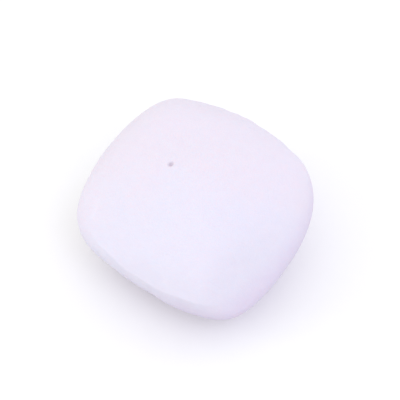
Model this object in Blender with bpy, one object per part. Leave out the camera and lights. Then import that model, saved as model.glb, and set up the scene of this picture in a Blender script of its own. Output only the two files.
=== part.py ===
# After-dinner mint: a small cushion of pulled sugar, cut from a rope by pinching it shut
# at both ends, and lying on its flattened underside.
#
# One solid. Origin at the centre of the underside, +Z up. X runs along the two pinched
# ends, and Y runs along the rope, from one pinched end to the other.
# Metres throughout.

import math
import random

import bmesh
import bpy

# Overall size
LENGTH = 0.0185              # X
WIDTH = 0.0183               # Y
HEIGHT = 0.0115              # Z

# The bare cushion. An exponent of 2 is an ellipse, and a larger one is squarer.
HALF_X = LENGTH / 2.0
HALF_Y = WIDTH / 2.0
HALF_Z = HEIGHT / 2.0
PLAN_AT_ENDS = 2.25          # seen from above, over a pinched end
PLAN_AT_SIDES = 2.59         # and over one of the rope's own sides
DOME_AT_ENDS = 2.04          # how full the dome is over a pinched end
DOME_AT_SIDES = 1.95         # and over a side
TAPER = -0.032               # the back end is a little narrower than the front one
SLANT = -0.115               # the ends are cut askew: X shift for each metre of Y

# How far the plan's corners reach out past the curve, as shares of the plan's radius
CORNER_REACH = {45: 0.047, 135: 0.031, 225: 0.109, 315: 0.078}
CORNER_SPREAD = math.radians(16.5)

# Flats, where the soft sugar was pressed in. Each is a plane that the cushion is eased
# back to: the heading and rise of its outward direction in degrees, how far it lies from
# the cushion's centre, and how far its rim is rounded over.
FLATS = (
    (-22, 25, 0.00827, 0.00050),     # along the +X side
    (101, 49, 0.00741, 0.00030),     # over the back end
    (243, 49, 0.00679, 0.00110),     # over the front end
)

# The pinched seam, halfway up each end: a thin lip between two shallow grooves
LIP_REACH = {-1: 0.00010, 1: 0.00050}      # front end, back end
LIP_HALF_THICKNESS = 0.00034
GROOVE_DEPTH = {-1: 0.00003, 1: 0.00024}
GROOVE_OFFSET = 0.00100
GROOVE_HALF_WIDTH = 0.00050
SEAM_FULL = 0.50             # share of the half length where the seam is at full strength
SEAM_GONE = 0.82             # and where it has died out

# The waves that the seam's line follows up and down: height, rate along the end, turn
SEAM_WANDER = ((0.00028, 3.4, 1.1), (0.00006, 9.1, 2.0), (0.00004, 17.3, 5.0))

# The end walls
WALL_STARTS = 0.25           # share of the half width where an end wall begins
WALL_FULL = 0.60             # and from where the seam and its gathers show in full

# Gathers: creases where the sugar was drawn in, from the seam up and down the end walls
GATHERS = {-1: (-0.34, 0.05, 0.40), 1: (-0.46, -0.14, 0.12, 0.44)}
GATHER_DEPTH = {-1: 0.00005, 1: 0.00014}
GATHER_HALF_WIDTH = 0.00060
GATHER_LENGTH = 0.0036
GATHER_SPLAY = 0.30          # how much they spread apart away from the seam
GATHER_OPENS = (0.0, 0.18)   # shares of its length where a gather deepens
GATHER_CLOSES = (0.35, 1.0)  # and where it fades out again

# The shallow dish in the top, lying askew
DISH_DEPTH = 0.00028
DISH_CENTRE = (-0.0014, 0.0016)
DISH_HALF_SIZE = (0.0042, 0.0023)
DISH_TURN = math.radians(33)

# The slow unevenness of a thing shaped while soft
WAVE_HEIGHT = 0.00003
WAVE_COUNT = 5
WAVE_LENGTHS = (0.006, 0.012)
WAVE_LIFT = 0.8              # the steepest way that a wave runs, 1 is straight up
WAVE_SEED = 7

# The foot, pressed flat by its own weight, and the mesh
FOOT_CUT = 0.94              # share of the half height at which the underside is cut off
FOOT_BLEND = 0.10            # share of the half height over which the cut is eased
GRID = 24                    # quads along each edge of the cube that it starts from
ROWS_AT_SEAM = 0.40          # spacing of the rows at mid height, against an even spacing

# The dusted sugar
SUGAR_COLOUR = (0.87, 0.83, 0.93, 1.0)
SUGAR_ROUGHNESS = 0.7


def clear_scene():
    for thing in list(bpy.data.objects):
        bpy.data.objects.remove(thing, do_unlink=True)


def ease(start, end, value):
    """0 before start, 1 after end, and an S curve between."""
    share = min(max((value - start) / (end - start), 0.0), 1.0)
    return share * share * (3.0 - 2.0 * share)


def bell(distance, half_width):
    return math.exp(-(distance / half_width) ** 2)


def spread(x, y, z):
    """Moves a point of the cube's even grid, so that the rows crowd at the seam."""
    return (math.tan(x * math.pi / 4.0),
            math.tan(y * math.pi / 4.0),
            z * (ROWS_AT_SEAM + (1.0 - ROWS_AT_SEAM) * z * z))


def cushion_point(x, y, z):
    """The point of the bare cushion, in half sizes, that lies towards x, y, z."""
    plan_size = math.hypot(x, y)
    towards_end = (y / plan_size) ** 2 if plan_size > 0.0 else 0.0
    plan = PLAN_AT_SIDES + (PLAN_AT_ENDS - PLAN_AT_SIDES) * towards_end
    dome = DOME_AT_SIDES + (DOME_AT_ENDS - DOME_AT_SIDES) * towards_end
    radius = (abs(x) ** plan + abs(y) ** plan) ** (1.0 / plan)
    size = (radius ** dome + abs(z) ** dome) ** (1.0 / dome)
    return x / size, y / size, z / size


def corner_reach(x, y):
    """How much further than the curve the plan reaches, by its direction."""
    angle = math.atan2(y, x)
    reach = 0.0
    for degrees, amount in CORNER_REACH.items():
        turn = math.remainder(angle - math.radians(degrees), math.tau)
        reach += amount * bell(turn, CORNER_SPREAD)
    return reach


def press_flats(x, y, z):
    """Eases a point that stands out past one of the flats back to its plane."""
    for heading, rise, distance, rounding in FLATS:
        turn, lift = math.radians(heading), math.radians(rise)
        across = math.cos(lift) * math.cos(turn), math.cos(lift) * math.sin(turn), math.sin(lift)
        past = (x * across[0] + y * across[1] + z * across[2] - distance) / rounding
        cut = rounding * (max(past, 0.0) + math.log1p(math.exp(-abs(past))))
        x, y, z = x - across[0] * cut, y - across[1] * cut, z - across[2] * cut
    return x, y, z


def seam_height(end, x):
    """Where the seam runs on one end, above or below mid height."""
    return sum(height * math.sin(end * turn + x / HALF_X * rate)
               for height, rate, turn in SEAM_WANDER)


def seam_relief(end, x, z):
    """How far the lip stands out of one end, less the grooves on both its sides."""
    strength = 1.0 - ease(SEAM_FULL, SEAM_GONE, abs(x) / HALF_X)
    off_seam = z - seam_height(end, x)
    lip = LIP_REACH[end] / (1.0 + (off_seam / LIP_HALF_THICKNESS) ** 2)
    grooves = (bell(off_seam - GROOVE_OFFSET, GROOVE_HALF_WIDTH)
               + bell(off_seam + GROOVE_OFFSET, GROOVE_HALF_WIDTH))
    return strength * (lip - GROOVE_DEPTH[end] * grooves)


def gather_relief(end, x, z):
    """How deep the creases are that run up and down the wall from one end's seam."""
    run = abs(z - seam_height(end, x)) / GATHER_LENGTH
    depth = 0.0
    for place in GATHERS[end]:
        centre = place * HALF_X * (1.0 + GATHER_SPLAY * run)
        depth += bell(x - centre, GATHER_HALF_WIDTH)
    fade = ease(*GATHER_OPENS, run) * (1.0 - ease(*GATHER_CLOSES, run))
    return GATHER_DEPTH[end] * depth * fade


def dish_depth(x, y):
    """The dish in the top, as an oval turned in plan."""
    along = x - DISH_CENTRE[0]
    across = y - DISH_CENTRE[1]
    turned_along = along * math.cos(DISH_TURN) + across * math.sin(DISH_TURN)
    turned_across = across * math.cos(DISH_TURN) - along * math.sin(DISH_TURN)
    reach = math.hypot(turned_along / DISH_HALF_SIZE[0], turned_across / DISH_HALF_SIZE[1])
    return DISH_DEPTH * bell(reach, 1.0)


def make_waves():
    """A few slow waves in fixed directions, as a function of the place."""
    draw = random.Random(WAVE_SEED)
    waves = []
    for _ in range(WAVE_COUNT):
        turn = draw.uniform(0.0, math.tau)
        lift = draw.uniform(-WAVE_LIFT, WAVE_LIFT)
        rate = math.tau / draw.uniform(*WAVE_LENGTHS)
        flat = math.sqrt(1.0 - lift * lift)
        waves.append((rate * flat * math.cos(turn), rate * flat * math.sin(turn),
                      rate * lift, draw.uniform(0.0, math.tau)))

    def height(x, y, z):
        total = sum(math.sin(x * kx + y * ky + z * kz + phase) for kx, ky, kz, phase in waves)
        return WAVE_HEIGHT * total

    return height


def flatten_foot(z):
    """Cuts the underside off level, eased so that it has no sharp rim."""
    blend = FOOT_BLEND * HALF_Z
    above = z + FOOT_CUT * HALF_Z
    if above <= 0.0:
        return 0.0
    if above < blend:
        return above * above / (2.0 * blend)
    return above - blend / 2.0


def shaped_point(x, y, z, wave):
    """Where a point of the cube ends up on the finished mint, before it is cut to size."""
    unit_x, unit_y, unit_z = cushion_point(*spread(x, y, z))
    width = min(math.hypot(unit_x, unit_y), 1.0)
    reach = 1.0 + corner_reach(unit_x, unit_y) * width * width
    x, y, z = HALF_X * unit_x * reach, HALF_Y * unit_y * reach, HALF_Z * unit_z

    swell = wave(x, y, z)
    x, y, z = x + unit_x * swell, y + unit_y * swell, z + unit_z * swell
    x, y, z = press_flats(x, y, z)

    end = 1 if unit_y > 0.0 else -1
    on_wall = ease(WALL_STARTS, WALL_FULL, abs(unit_y))
    y += end * on_wall * (seam_relief(end, x, z) - gather_relief(end, x, z))
    if unit_z > 0.0:
        z -= dish_depth(x, y)

    x = x * (1.0 + TAPER * y / HALF_Y) + SLANT * y
    return x, y, flatten_foot(z)


def cut_to_size(mesh):
    """Scales and moves the mint, so that its box is exactly LENGTH, WIDTH and HEIGHT."""
    lows = [min(vert.co[axis] for vert in mesh.verts) for axis in range(3)]
    highs = [max(vert.co[axis] for vert in mesh.verts) for axis in range(3)]
    for axis, size in enumerate((LENGTH, WIDTH, HEIGHT)):
        scale = size / (highs[axis] - lows[axis])
        start = 0.0 if axis == 2 else -size / 2.0
        for vert in mesh.verts:
            vert.co[axis] = start + (vert.co[axis] - lows[axis]) * scale


def make_sugar():
    sugar = bpy.data.materials.new("pulled_sugar")
    sugar.use_nodes = True
    shader = sugar.node_tree.nodes["Principled BSDF"]
    shader.inputs["Base Color"].default_value = SUGAR_COLOUR
    shader.inputs["Roughness"].default_value = SUGAR_ROUGHNESS
    shader.inputs["Metallic"].default_value = 0.0
    return sugar


def make_mint(collection):
    shape = bmesh.new()
    bmesh.ops.create_cube(shape, size=2.0)
    bmesh.ops.subdivide_edges(shape, edges=shape.edges, cuts=GRID - 1, use_grid_fill=True)
    wave = make_waves()
    for vert in shape.verts:
        vert.co = shaped_point(*vert.co, wave)
    cut_to_size(shape)
    mesh = bpy.data.meshes.new("mint")
    shape.to_mesh(mesh)
    shape.free()
    mesh.shade_smooth()
    mesh.materials.append(make_sugar())
    mint = bpy.data.objects.new("mint", mesh)
    collection.objects.link(mint)


def main():
    clear_scene()
    collection = bpy.data.collections.new("after_dinner_mint")
    bpy.context.scene.collection.children.link(collection)
    make_mint(collection)


main()
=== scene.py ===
import math
import random

import bmesh
import bpy
import numpy as np
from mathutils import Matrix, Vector, noise


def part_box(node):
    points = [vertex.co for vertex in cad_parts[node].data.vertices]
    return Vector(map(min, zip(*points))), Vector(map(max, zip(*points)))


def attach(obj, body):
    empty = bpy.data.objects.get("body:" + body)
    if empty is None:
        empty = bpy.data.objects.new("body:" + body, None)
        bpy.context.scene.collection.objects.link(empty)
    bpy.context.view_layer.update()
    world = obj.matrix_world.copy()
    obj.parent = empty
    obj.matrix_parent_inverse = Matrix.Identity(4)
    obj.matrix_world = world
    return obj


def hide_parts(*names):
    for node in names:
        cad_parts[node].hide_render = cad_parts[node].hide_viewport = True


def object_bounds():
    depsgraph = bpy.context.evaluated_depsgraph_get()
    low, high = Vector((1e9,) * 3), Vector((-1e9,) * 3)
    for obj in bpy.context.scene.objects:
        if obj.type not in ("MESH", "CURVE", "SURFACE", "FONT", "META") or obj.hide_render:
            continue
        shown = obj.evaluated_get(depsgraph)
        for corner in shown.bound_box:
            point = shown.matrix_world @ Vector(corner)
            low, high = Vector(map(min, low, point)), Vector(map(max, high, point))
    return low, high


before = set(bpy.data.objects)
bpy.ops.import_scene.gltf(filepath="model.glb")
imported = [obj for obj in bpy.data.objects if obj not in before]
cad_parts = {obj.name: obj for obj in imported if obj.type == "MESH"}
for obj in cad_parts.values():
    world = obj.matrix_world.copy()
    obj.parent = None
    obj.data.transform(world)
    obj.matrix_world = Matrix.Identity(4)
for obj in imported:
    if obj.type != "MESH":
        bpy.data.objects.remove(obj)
cadBox = [list(corner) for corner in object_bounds()]
print("frame loaded")

mintLow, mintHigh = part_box("mint")
mintSize = mintHigh - mintLow
halfX, halfY, halfZ = mintSize / 2
middle = (mintLow + mintHigh) / 2
tiny = 1e-12                         # keeps the poles from dividing by nothing


def eased(start, end, value):        # 0 before start, 1 after end, an S curve between
    share = np.clip((value - start) / (end - start), 0.0, 1.0)
    return share * share * (3.0 - 2.0 * share)


def bell(distance, halfWidth):
    return np.exp(-(distance / halfWidth) ** 2)


seedStep = Vector((7.3, 3.1, 5.7))   # each seed reads the noise this much further on


def noiseAt(places, seed):           # smooth noise from -1 to 1 at an array of places
    shift = seed * seedStep
    return np.array([noise.noise(Vector(place) + shift) for place in places])


# The cushion's form, in metres or in shares of the mint's half sizes.
# The front end is -Y and the back end +Y.

cushion = {
    "quadsPerEdge": 118,              # of the cube that the mesh starts from
    "rowsAtSeam": 0.45,               # row spacing at mid height, against an even spacing
    "planAtEnds": 2.25,               # 2 is an oval from above, more is squarer
    "planAtSides": 2.59,
    "domeAtEnds": 2.04,
    "domeAtSides": 1.95,
    "taper": -0.032,
    "slant": -0.115,
    "cornerReach": {45: 0.047, 135: 0.031, 225: 0.109, 315: 0.078},
    "cornerSpread": math.radians(16.5),
    # where the soft sugar was pressed in: heading, rise, distance from the centre, rounding
    "flats": ((-22, 25, 0.00827, 0.00050), (101, 49, 0.00741, 0.00030), (243, 49, 0.00679, 0.00110)),
    "waveHeight": 0.00003,
    "waveCount": 5,
    "waveLengths": (0.006, 0.012),
    "waveLift": 0.8,                  # the steepest way that a wave runs, 1 is straight up
    "waveSeed": 7,
    "dishDepth": 0.00028,
    "dishCentre": (-0.0014, 0.0016),
    "dishHalfSize": (0.0042, 0.0023),
    "dishTurn": math.radians(33),
    "footCut": 0.94,
    "footBlend": 0.10,
}

seam = {
    "lipReach": {-1: 0.00010, 1: 0.00050},
    "lipHalfThickness": 0.00026,
    "grooveDepth": {-1: 0.00003, 1: 0.00024},
    "grooveOffset": 0.00100,
    "grooveHalfWidth": 0.00050,
    "full": 0.50,                     # share of the half length with the seam at full strength
    "gone": 0.82,                     # and where it has died out
    # the waves that the seam's line follows: height, rate along the end, turn
    "wander": ((0.00028, 3.4, 1.1), (0.00006, 9.1, 2.0), (0.00004, 17.3, 5.0)),
    "wallStarts": 0.25,
    "wallFull": 0.60,
    "raggedness": 0.34,               # how unevenly the lip stands out
    "raggedLength": 0.0010,
    "raggedApart": 4.0,               # keeps the raggedness of the two ends unlike
    "raggedSeed": 3,
    "gathers": {-1: (-0.34, 0.05, 0.40), 1: (-0.46, -0.14, 0.12, 0.44)},
    "gatherDepth": {-1: 0.00005, 1: 0.00014},
    "gatherHalfWidth": 0.00060,
    "gatherLength": 0.0036,
    "gatherSplay": 0.30,
    "gatherOpens": (0.0, 0.18),       # shares of its length where a gather deepens
    "gatherCloses": (0.35, 1.0),      # and where it fades out again
    # short folds beside the back lip: start, stop, height off the seam, how far they stand out
    "folds": ((-0.50, -0.12, 0.00062, 0.00007), (0.10, 0.52, -0.00066, 0.00008),
              (0.22, 0.40, 0.00100, 0.00005)),
    "foldHalfThickness": 0.00013,
    "foldFade": 0.14,
    "foldNears": 0.5,                 # share of its height that a fold loses along its run
}


def gridCube():                       # a cube cut into a fine even grid
    shape = bmesh.new()
    bmesh.ops.create_cube(shape, size=2.0)
    bmesh.ops.subdivide_edges(shape, edges=shape.edges, cuts=cushion["quadsPerEdge"] - 1,
                              use_grid_fill=True)
    return shape


def cushionDirections(places):        # the bare cushion's points, in half sizes
    x = np.tan(places[:, 0] * math.pi / 4)
    y = np.tan(places[:, 1] * math.pi / 4)
    close = cushion["rowsAtSeam"]
    z = places[:, 2] * (close + (1.0 - close) * places[:, 2] ** 2)
    towardsEnd = y ** 2 / np.maximum(x ** 2 + y ** 2, tiny)
    plan = cushion["planAtSides"] + (cushion["planAtEnds"] - cushion["planAtSides"]) * towardsEnd
    dome = cushion["domeAtSides"] + (cushion["domeAtEnds"] - cushion["domeAtSides"]) * towardsEnd
    radius = (abs(x) ** plan + abs(y) ** plan) ** (1.0 / plan)
    size = (radius ** dome + abs(z) ** dome) ** (1.0 / dome)
    return np.stack([x, y, z], axis=1) / size[:, None]


def cornerReach(unit):                # how much further the plan reaches at its corners
    angle = np.arctan2(unit[:, 1], unit[:, 0])
    reach = np.zeros(len(unit))
    for degrees, amount in cushion["cornerReach"].items():
        turn = np.angle(np.exp(1j * (angle - math.radians(degrees))))     # half a turn at most
        reach += amount * bell(turn, cushion["cornerSpread"])
    return reach


def waveHeights(points):              # slow waves, from shaping the sugar while soft
    draw = random.Random(cushion["waveSeed"])
    total = np.zeros(len(points))
    for _ in range(cushion["waveCount"]):
        turn = draw.uniform(0.0, math.tau)
        lift = draw.uniform(-cushion["waveLift"], cushion["waveLift"])
        rate = math.tau / draw.uniform(*cushion["waveLengths"])
        flat = math.sqrt(1.0 - lift * lift)
        way = np.array([flat * math.cos(turn), flat * math.sin(turn), lift]) * rate
        total += np.sin(points @ way + draw.uniform(0.0, math.tau))
    return cushion["waveHeight"] * total


def pressedFlats(points):             # eases what stands out past a flat back to its plane
    for heading, rise, distance, rounding in cushion["flats"]:
        turn, lift = math.radians(heading), math.radians(rise)
        across = np.array([math.cos(lift) * math.cos(turn), math.cos(lift) * math.sin(turn),
                           math.sin(lift)])
        past = (points @ across - distance) / rounding
        points = points - np.outer(rounding * np.logaddexp(0.0, past), across)
    return points


def seamLine(end, x):                 # how high the seam runs on one end
    return sum(height * np.sin(end * turn + x / halfX * rate)
               for height, rate, turn in seam["wander"])


def seamStrength(x):
    return 1.0 - eased(seam["full"], seam["gone"], abs(x) / halfX)


def seamRelief(end, x, z):            # the ragged lip between its two grooves
    offSeam = z - seamLine(end, x)
    zero = np.zeros(len(x))
    places = np.stack([x / seam["raggedLength"], zero + end * seam["raggedApart"], zero], axis=1)
    ragged = noiseAt(places, seam["raggedSeed"])
    reach = seam["lipReach"][end] * (1.0 + seam["raggedness"] * ragged)
    lip = reach / (1.0 + (offSeam / seam["lipHalfThickness"]) ** 2)
    grooves = (bell(offSeam - seam["grooveOffset"], seam["grooveHalfWidth"])
               + bell(offSeam + seam["grooveOffset"], seam["grooveHalfWidth"]))
    return seamStrength(x) * (lip - seam["grooveDepth"][end] * grooves)


def foldRelief(x, z):                 # beside the back end's lip, nearing it as they run
    along, offSeam = x / halfX, z - seamLine(1, x)
    fade = seam["foldFade"]
    rise = np.zeros(len(x))
    for start, stop, height, reach in seam["folds"]:
        here = eased(start, start + fade, along) * (1.0 - eased(stop - fade, stop, along))
        centre = height * (1.0 - seam["foldNears"] * (along - start) / (stop - start))
        rise += reach * here * bell(offSeam - centre, seam["foldHalfThickness"])
    return rise


def gatherRelief(end, x, z):          # where the sugar was drawn in, up and down from the seam
    run = abs(z - seamLine(end, x)) / seam["gatherLength"]
    depth = np.zeros(len(x))
    for place in seam["gathers"][end]:
        centre = place * halfX * (1.0 + seam["gatherSplay"] * run)
        depth += bell(x - centre, seam["gatherHalfWidth"])
    fade = eased(*seam["gatherOpens"], run) * (1.0 - eased(*seam["gatherCloses"], run))
    return seam["gatherDepth"][end] * depth * fade


def dishDepths(x, y):                 # the shallow dish in the top, an oval turned in plan
    turn = cushion["dishTurn"]
    along, across = x - cushion["dishCentre"][0], y - cushion["dishCentre"][1]
    turnedAlong = along * math.cos(turn) + across * math.sin(turn)
    turnedAcross = across * math.cos(turn) - along * math.sin(turn)
    reach = np.hypot(turnedAlong / cushion["dishHalfSize"][0],
                     turnedAcross / cushion["dishHalfSize"][1])
    return cushion["dishDepth"] * bell(reach, 1.0)


def flattenedFoot(z):                 # the underside, cut off level with an eased rim
    blend = cushion["footBlend"] * halfZ
    above = np.maximum(z + cushion["footCut"] * halfZ, 0.0)
    return np.where(above < blend, above ** 2 / (2.0 * blend), above - blend / 2.0)


def cushionPoints(places):            # the whole form, fitted to the frame's box
    unit = cushionDirections(places)
    width = np.minimum(np.hypot(unit[:, 0], unit[:, 1]), 1.0)
    reach = 1.0 + cornerReach(unit) * width ** 2
    points = unit * np.stack([halfX * reach, halfY * reach, halfZ * np.ones(len(unit))], axis=1)
    points += unit * waveHeights(points)[:, None]
    x, y, z = pressedFlats(points).T
    onWall = eased(seam["wallStarts"], seam["wallFull"], abs(unit[:, 1]))
    for end in (-1, 1):
        here = unit[:, 1] > 0.0 if end == 1 else unit[:, 1] <= 0.0
        relief = seamRelief(end, x[here], z[here]) - gatherRelief(end, x[here], z[here])
        if end == 1:
            relief += foldRelief(x[here], z[here])
        y[here] += end * onWall[here] * relief
    z -= np.where(unit[:, 2] > 0.0, dishDepths(x, y), 0.0)
    x = x * (1.0 + cushion["taper"] * y / halfY) + cushion["slant"] * y
    points = np.stack([x, y, flattenedFoot(z)], axis=1)
    low, high = points.min(axis=0), points.max(axis=0)
    return np.array(mintLow) + (points - low) * np.array(mintSize) / (high - low)


relief = {
    "seed": 11,
    # fine lines left by pulling, from end to end
    "pullDepth": 0.0000055,
    "pulls": ((0.65, 9.0), (0.35, 21.0)),     # share of the depth, how closely the lines lie
    "pullLength": 0.011,
    "pullSeed": 1,
    # slow unevenness, a few millimetres across
    "softDepth": 0.000016,
    "softLength": 0.0026,
    "softSeed": 5,
    "dimpleCount": 150,
    "dimpleRadius": (0.00030, 0.00062),
    "dimpleDepth": (0.000006, 0.000026),
    # fine creases at each pinched end
    "creaseCount": {-1: 13, 1: 22},
    "creaseWall": (0.45, 0.70),               # how near the end they start to show, and do fully
    "creaseSpan": 0.62,
    "creaseHalfWidth": (0.00013, 0.00026),
    "creaseLength": (0.0012, 0.0036),
    "creaseDepth": {-1: (0.000015, 0.00004), 1: (0.00004, 0.00012)},
    "creaseLean": 0.25,
    "creaseFan": 0.35,                        # how much more those near a corner lean out
    "creaseBend": 0.12,
    "creaseOpens": (0.05, 0.25),
    "creaseCloses": (0.45, 1.0),
    "creaseShows": 0.00006,                   # depth at which its colour is full
    # x, y, top or underside, radius
    "pits": ((-0.00148, -0.00194, 1, 0.00025), (-0.0052, 0.0031, -1, 0.00018),
             (0.0030, -0.0047, -1, 0.00020), (-0.0062, 0.0058, -1, 0.00013)),
    "pitDepth": 0.6,                          # share of the pit's radius
    "pitWall": (0.35, 1.25),                  # shares of the radius from its floor to its rim
    "pitShows": 0.00012,
    "footClear": 0.00002,                     # the relief stops this far above the foot
}


def nearestPoint(points, normals, x, y, side):     # the surface's point over or under x, y
    distance = np.hypot(points[:, 0] - x, points[:, 1] - y)
    return points[np.argmin(np.where(normals[:, 2] * side > 0.0, distance, np.inf))]


def pullRelief(points):               # noise drawn out along Y, wrapped round the mint
    centre = points - np.array([0.0, 0.0, mintLow.z + halfZ])
    turn = np.arctan2(centre[:, 2] / halfZ, centre[:, 0] / halfX)
    total = np.zeros(len(points))
    for share, around in relief["pulls"]:
        places = np.stack([np.cos(turn) * around, np.sin(turn) * around,
                           points[:, 1] / relief["pullLength"]], axis=1)
        total += share * noiseAt(places, relief["pullSeed"])
    return relief["pullDepth"] * total


def dimpleRelief(points, draw):
    depth = np.zeros(len(points))
    for _ in range(relief["dimpleCount"]):
        centre = points[draw.randrange(len(points))]
        radius = draw.uniform(*relief["dimpleRadius"])
        distance = np.linalg.norm(points - centre, axis=1)
        depth += draw.uniform(*relief["dimpleDepth"]) * bell(distance, radius)
    return depth


def creaseRelief(points, draw):       # V-shaped, from the seam's groove up or down the wall
    depth = np.zeros(len(points))
    x, y, z = points.T
    z = z - mintLow.z - halfZ
    for end in (-1, 1):
        onWall = eased(*relief["creaseWall"], end * y / halfY)
        for _ in range(relief["creaseCount"][end]):
            start = draw.uniform(-relief["creaseSpan"], relief["creaseSpan"]) * halfX
            side = draw.choice((-1, 1))
            length = draw.uniform(*relief["creaseLength"])
            halfWidth = draw.uniform(*relief["creaseHalfWidth"])
            deep = draw.uniform(*relief["creaseDepth"][end])
            lean = draw.uniform(-relief["creaseLean"], relief["creaseLean"])
            lean += relief["creaseFan"] * start / halfX
            bend = draw.uniform(-relief["creaseBend"], relief["creaseBend"])
            run = side * (z - seamLine(end, x))
            share = run / length
            centre = start + lean * run + bend * run * np.maximum(share, 0.0)
            fade = eased(*relief["creaseOpens"], share) * (1.0 - eased(*relief["creaseCloses"], share))
            depth += deep * fade * onWall * np.exp(-abs(x - centre) / halfWidth)
    return depth


def pitRelief(points, normals):       # tiny air holes that reached the surface
    depth = np.zeros(len(points))
    for x, y, side, radius in relief["pits"]:
        centre = nearestPoint(points, normals, x, y, side)
        distance = np.linalg.norm(points - centre, axis=1)
        inside = 1.0 - eased(*relief["pitWall"], distance / radius)
        depth += relief["pitDepth"] * radius * inside
    return depth


def meshNormals(shape):
    shape.normal_update()
    return np.array([vert.normal[:] for vert in shape.verts])


def makeMint(material):
    shape = gridCube()
    points = cushionPoints(np.array([vert.co[:] for vert in shape.verts]))
    for vert, point in zip(shape.verts, points):
        vert.co = point
    print("cushion formed:", len(shape.verts), "points")
    normals = meshNormals(shape)
    draw = random.Random(relief["seed"])
    soft = relief["softDepth"] * noiseAt(points / relief["softLength"], relief["softSeed"])
    creases = creaseRelief(points, draw)
    pits = pitRelief(points, normals)
    height = soft + pullRelief(points) - dimpleRelief(points, draw) - creases - pits
    lifted = points[:, 2] > mintLow.z + relief["footClear"]
    finished = points + normals * (height * lifted)[:, None]
    finished[:, 2] = np.maximum(finished[:, 2], mintLow.z)
    for vert, point in zip(shape.verts, finished):
        vert.co = point
    mesh = bpy.data.meshes.new("sugar_cushion")
    shape.to_mesh(mesh)
    shape.free()
    for name, depths in (("crease", creases), ("pit", pits)):
        shown = np.clip(depths / relief[name + "Shows"], 0.0, 1.0)
        layer = mesh.attributes.new(name, "FLOAT", "POINT")
        layer.data.foreach_set("value", shown.astype(np.float32))
    mesh.shade_smooth()
    mesh.materials.append(material)
    piece = bpy.data.objects.new("sugar_cushion", mesh)
    bpy.context.scene.collection.objects.link(piece)
    return piece


sugarFinish = {
    "milk": (0.800, 0.766, 0.864, 1.0),       # the sugar itself
    "blush": (0.826, 0.757, 0.839, 1.0),      # where it is a little warmer
    "blushWay": (-0.45, 0.89, 0.0),           # towards its warmer part, at the back
    "blushReach": (-0.0045, 0.0015),          # from none to all, along that way
    "blushUneven": 0.0024,
    "flankShadeTone": (0.755, 0.675, 0.812, 1.0),  # painted shade: darker and pinker low on the flank, where the underside lies in shade
    "flankWay": (0.22, 0.11, -0.97),          # down, and rather towards the +X side
    "flankReach": (-0.0004, 0.0032),          # from none to all, off mid height
    "flankUneven": -0.0004,
    "starch": (0.940, 0.925, 0.965, 1.0),
    "mottleStarch": 0.06,                     # how much of it lies on the grains
    "creaseStarch": 0.30,                     # and in the creases
    # painted shade inside the pits
    "pitShadeTone": (0.62, 0.54, 0.62, 1.0),
    "pitShadeShare": 0.85,
    "cloudRoughness": 0.55,
    # clouds of noise: size, detail, and the values that become 0 and 1
    "patches": (0.0042, 2.0, 0.38, 0.64),
    "mottle": (0.0009, 3.0, 0.36, 0.66),
    "grain": (0.00016, 4.0, 0.30, 0.72),
    "mottleHeight": 0.000010,
    "grainHeight": 0.000012,
    "roughness": (0.52, 0.74),
    "shine": 0.28,
    "scatter": 0.22,
    "scatterRadius": (0.0016, 0.0011, 0.0010),
    "sheen": 0.04,
    "sheenRoughness": 0.5,
}


def addNode(tree, kind, **inputs):
    node = tree.nodes.new(kind)
    for name, value in inputs.items():
        node.inputs[name].default_value = value
    return node


def speckleGroup():                  # noise of a real size in metres, with a chosen contrast
    group = bpy.data.node_groups.new("speckle", "ShaderNodeTree")
    face = group.interface
    for name, kind in (("Place", "NodeSocketVector"), ("Size", "NodeSocketFloat"),
                       ("Detail", "NodeSocketFloat"), ("Low", "NodeSocketFloat"),
                       ("High", "NodeSocketFloat")):
        face.new_socket(name=name, in_out="INPUT", socket_type=kind)
    face.new_socket(name="Mask", in_out="OUTPUT", socket_type="NodeSocketFloat")
    inside, outside = group.nodes.new("NodeGroupInput"), group.nodes.new("NodeGroupOutput")
    rate = addNode(group, "ShaderNodeMath")
    rate.operation = "DIVIDE"
    rate.inputs[0].default_value = 1.0
    cloud = addNode(group, "ShaderNodeTexNoise", Roughness=sugarFinish["cloudRoughness"])
    spread = addNode(group, "ShaderNodeMapRange")
    link = group.links.new
    link(inside.outputs["Size"], rate.inputs[1])
    link(rate.outputs[0], cloud.inputs["Scale"])
    link(inside.outputs["Place"], cloud.inputs["Vector"])
    link(inside.outputs["Detail"], cloud.inputs["Detail"])
    link(cloud.outputs["Fac"], spread.inputs["Value"])
    link(inside.outputs["Low"], spread.inputs["From Min"])
    link(inside.outputs["High"], spread.inputs["From Max"])
    link(spread.outputs["Result"], outside.inputs["Mask"])
    return group


def speckle(tree, group, place, size, detail, low, high):
    node = tree.nodes.new("ShaderNodeGroup")
    node.node_tree = group
    for name, value in (("Size", size), ("Detail", detail), ("Low", low), ("High", high)):
        node.inputs[name].default_value = value
    tree.links.new(place, node.inputs["Place"])
    return node.outputs["Mask"]


def mixColour(tree, share, first, second):
    node = tree.nodes.new("ShaderNodeMix")
    node.data_type = "RGBA"
    # its factor is socket 0, and its colours A and B are sockets 6 and 7
    for number, value in ((0, share), (6, first), (7, second)):
        socket = node.inputs[number]
        if isinstance(value, bpy.types.NodeSocket):
            tree.links.new(value, socket)
        else:
            socket.default_value = value
    return node.outputs[2]


def bumpedBy(tree, height, distance, normal=None):
    node = addNode(tree, "ShaderNodeBump", Strength=1.0, Distance=distance)
    tree.links.new(height, node.inputs["Height"])
    if normal:
        tree.links.new(normal, node.inputs["Normal"])
    return node.outputs["Normal"]


def scaledValue(tree, value, share):
    node = tree.nodes.new("ShaderNodeMath")
    node.operation = "MULTIPLY"
    tree.links.new(value, node.inputs[0])
    node.inputs[1].default_value = share
    return node.outputs[0]


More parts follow.
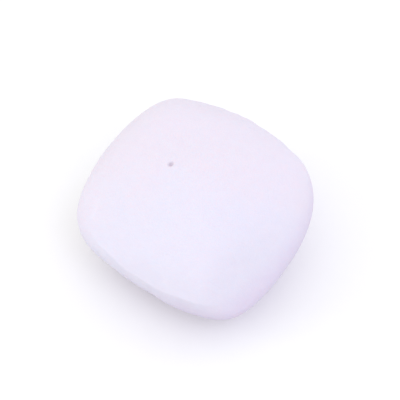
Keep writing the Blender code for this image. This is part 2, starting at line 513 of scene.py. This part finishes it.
def reachMask(tree, place, uneven, name):     # rises along a way through the mint's middle
    mapping = addNode(tree, "ShaderNodeMapping", Location=-middle)
    along = tree.nodes.new("ShaderNodeVectorMath")
    along.operation = "DOT_PRODUCT"
    along.inputs[1].default_value = sugarFinish[name + "Way"]
    shift = tree.nodes.new("ShaderNodeMath")
    shift.operation = "MULTIPLY_ADD"
    shift.inputs[1].default_value = sugarFinish[name + "Uneven"]
    start, stop = sugarFinish[name + "Reach"]
    spread = addNode(tree, "ShaderNodeMapRange")
    spread.interpolation_type = "SMOOTHSTEP"
    spread.inputs["From Min"].default_value = start
    spread.inputs["From Max"].default_value = stop
    link = tree.links.new
    link(place, mapping.inputs["Vector"])
    link(mapping.outputs["Vector"], along.inputs[0])
    link(uneven, shift.inputs[0])
    link(along.outputs["Value"], shift.inputs[2])
    link(shift.outputs[0], spread.inputs["Value"])
    return spread.outputs["Result"]


def makeSugar():
    sugar = bpy.data.materials.new("pulled_sugar_satin")
    sugar.use_nodes = True
    tree = sugar.node_tree
    shader = tree.nodes["Principled BSDF"]
    place = tree.nodes.new("ShaderNodeTexCoord").outputs["Object"]
    group = speckleGroup()
    patches = speckle(tree, group, place, *sugarFinish["patches"])
    mottle = speckle(tree, group, place, *sugarFinish["mottle"])
    grain = speckle(tree, group, place, *sugarFinish["grain"])
    marks = {}
    for name in ("crease", "pit"):
        node = tree.nodes.new("ShaderNodeAttribute")
        node.attribute_name = name
        marks[name] = node.outputs["Fac"]

    blushed = reachMask(tree, place, patches, "blush")
    # painted shade: a mask rising down the flank, strongest low on the +X side
    flankShade = reachMask(tree, place, patches, "flank")
    onMottle = scaledValue(tree, mottle, sugarFinish["mottleStarch"])
    inCreases = scaledValue(tree, marks["crease"], sugarFinish["creaseStarch"])
    # painted shade: darker inside the pits
    pitShade = scaledValue(tree, marks["pit"], sugarFinish["pitShadeShare"])
    colour = mixColour(tree, blushed, sugarFinish["milk"], sugarFinish["blush"])
    colour = mixColour(tree, flankShade, colour, sugarFinish["flankShadeTone"])
    colour = mixColour(tree, onMottle, colour, sugarFinish["starch"])
    colour = mixColour(tree, inCreases, colour, sugarFinish["starch"])
    colour = mixColour(tree, pitShade, colour, sugarFinish["pitShadeTone"])
    tree.links.new(colour, shader.inputs["Base Color"])

    smoothest, roughest = sugarFinish["roughness"]
    satin = addNode(tree, "ShaderNodeMapRange")
    satin.inputs["To Min"].default_value = smoothest
    satin.inputs["To Max"].default_value = roughest
    tree.links.new(grain, satin.inputs["Value"])
    tree.links.new(satin.outputs["Result"], shader.inputs["Roughness"])

    normal = bumpedBy(tree, mottle, sugarFinish["mottleHeight"])
    normal = bumpedBy(tree, grain, sugarFinish["grainHeight"], normal)
    tree.links.new(normal, shader.inputs["Normal"])

    shader.inputs["Specular IOR Level"].default_value = sugarFinish["shine"]
    shader.inputs["Subsurface Weight"].default_value = sugarFinish["scatter"]
    shader.inputs["Subsurface Radius"].default_value = sugarFinish["scatterRadius"]
    shader.inputs["Subsurface Scale"].default_value = 1.0
    shader.inputs["Sheen Weight"].default_value = sugarFinish["sheen"]
    shader.inputs["Sheen Roughness"].default_value = sugarFinish["sheenRoughness"]
    return sugar


mint = makeMint(makeSugar())
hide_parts("mint")
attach(mint, "root")
print("mint finished:", len(mint.data.polygons), "quads")

studio = {
    "azimuth": 37.0,                  # degrees, 0 looks along +Y
    "elevation": 50.0,
    "lens": 250.0,
    "frameWidth": 0.0325,             # metres across the picture at the mint
    "clipSpan": 100.0,                # how many times nearer and farther things still show
    "floorSize": 0.5,
    "floorColour": (0.99, 0.985, 0.962, 1.0),
    "floorBounce": (0.76, 0.76, 0.77, 1.0),   # what the mint's flanks get back from the floor
    "floorRoughness": 0.9,
    "floorShine": 0.1,
    "farColour": (1.0, 1.0, 1.0, 1.0),        # what shows past the floor's edge
    "skyColour": (0.986, 0.986, 1.0, 1.0),
    "skyStrength": 0.972,
    # name: turn from the camera, elevation, distance, size, watts, colour
    "lamps": {
        "left_softbox": (-80.0, 22.0, 0.28, 0.18, 0.108, (0.89, 0.97, 1.0)),
        "back_right_softbox": (120.0, 22.0, 0.28, 0.18, 0.078, (0.53, 0.71, 1.0)),
        "front_right_softbox": (30.0, 50.0, 0.28, 0.18, 0.111, (0.69, 0.70, 1.0)),
    },
}


def backward(azimuth, elevation):     # from the mint towards a camera or lamp
    a, e = math.radians(azimuth), math.radians(elevation)
    return Vector((math.sin(a) * math.cos(e), -math.cos(a) * math.cos(e), math.sin(e)))


def aimedAt(thing, target, way, distance):
    thing.location = target + way * distance
    thing.rotation_mode = "QUATERNION"
    thing.rotation_quaternion = (-way).to_track_quat("-Z", "Y")
    bpy.context.scene.collection.objects.link(thing)
    return thing


def makeFloor():
    shape = bmesh.new()
    bmesh.ops.create_grid(shape, x_segments=1, y_segments=1, size=studio["floorSize"] / 2)
    bmesh.ops.translate(shape, verts=shape.verts, vec=(0.0, 0.0, cadBox[0][2]))
    mesh = bpy.data.meshes.new("floor")
    shape.to_mesh(mesh)
    shape.free()
    paint = bpy.data.materials.new("pale_floor")
    paint.use_nodes = True
    tree = paint.node_tree
    shader = tree.nodes["Principled BSDF"]
    seen = tree.nodes.new("ShaderNodeLightPath").outputs["Is Camera Ray"]
    paleness = mixColour(tree, seen, studio["floorBounce"], studio["floorColour"])
    tree.links.new(paleness, shader.inputs["Base Color"])
    shader.inputs["Roughness"].default_value = studio["floorRoughness"]
    shader.inputs["Specular IOR Level"].default_value = studio["floorShine"]
    mesh.materials.append(paint)
    floor = bpy.data.objects.new("floor", mesh)
    bpy.context.scene.collection.objects.link(floor)


def makeSky():
    world = bpy.data.worlds.new("studio_air")
    bpy.context.scene.world = world
    world.use_nodes = True
    tree = world.node_tree
    air = tree.nodes["Background"]
    air.inputs["Color"].default_value = studio["skyColour"]
    air.inputs["Strength"].default_value = studio["skyStrength"]
    far = addNode(tree, "ShaderNodeBackground", Color=studio["farColour"])
    seen = tree.nodes.new("ShaderNodeLightPath").outputs["Is Camera Ray"]
    both = tree.nodes.new("ShaderNodeMixShader")
    tree.links.new(seen, both.inputs["Fac"])
    tree.links.new(air.outputs[0], both.inputs[1])
    tree.links.new(far.outputs[0], both.inputs[2])
    tree.links.new(both.outputs[0], tree.nodes["World Output"].inputs["Surface"])


def makeLamps(target):
    for name, (turn, elevation, distance, size, watts, colour) in studio["lamps"].items():
        light = bpy.data.lights.new(name, "AREA")
        light.shape = "DISK"
        light.size = size
        light.energy = watts
        light.color = colour
        way = backward(studio["azimuth"] + turn, elevation)
        aimedAt(bpy.data.objects.new(name, light), target, way, distance)


def makeCamera(target):
    data = bpy.data.cameras.new("view")
    data.lens = studio["lens"]
    distance = studio["frameWidth"] * data.lens / data.sensor_width
    data.clip_start = distance / studio["clipSpan"]
    data.clip_end = distance * studio["clipSpan"]
    camera = bpy.data.objects.new("view", data)
    aimedAt(camera, target, backward(studio["azimuth"], studio["elevation"]), distance)
    bpy.context.scene.camera = camera


makeFloor()
makeSky()
makeLamps(middle)
makeCamera(middle)
bpy.context.scene.view_settings.view_transform = "Standard"
print("studio set")
